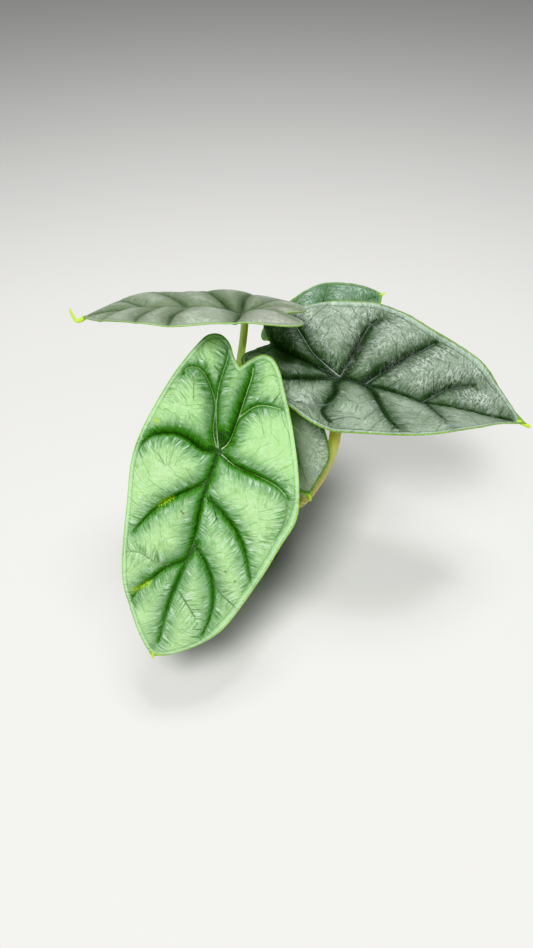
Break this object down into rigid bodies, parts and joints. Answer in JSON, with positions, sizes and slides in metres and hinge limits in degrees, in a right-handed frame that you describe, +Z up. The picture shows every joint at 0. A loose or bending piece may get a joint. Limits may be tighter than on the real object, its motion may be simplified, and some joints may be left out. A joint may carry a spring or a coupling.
{
  "type": "potted alocasia plant",
  "caption": "Aroid house plant with large shield-shaped leaves, deeply ribbed and silver green, on bowed stalks, in soil in a plain round tapered pot.",
  "frame": {"origin": "centre of the pot's underside, on the surface that it stands on", "axes": "+Z up out of the pot; -Y to the front, where the largest pale leaf hangs; +X to the right, where the large dark leaf points"},
  "size_m": [0.2436, 0.1985, 0.2038],
  "materials": {
    "pot_plastic": "thin black plastic, satin",
    "soil": "loose moist potting mix, rough",
    "crown": "waxy stem with papery old sheaths",
    "young_stalk": "smooth waxy green skin",
    "old_stalk": "waxy olive skin, mottled brown towards its foot",
    "young_leaf": "waxy pale green leaf, satin, dark green along its veins",
    "silver_leaf": "waxy grey silver leaf, satin",
    "dark_leaf": "waxy silver leaf with near black green veins, glossy",
    "green_leaf": "waxy green silver leaf, satin",
    "dull_leaf": "dull grey green leaf"
  },
  "bodies": {
    "root": {"pot": "pot_plastic", "soil": "soil", "crown": "crown", "stalk_front": "young_stalk", "blade_front": "young_leaf", "stalk_left": "young_stalk", "blade_left": "silver_leaf", "stalk_right": "old_stalk", "blade_right": "dark_leaf", "stalk_back": "young_stalk", "blade_back": "green_leaf", "stalk_low": "young_stalk", "blade_low": "dull_leaf"}
  },
  "joints": []
}
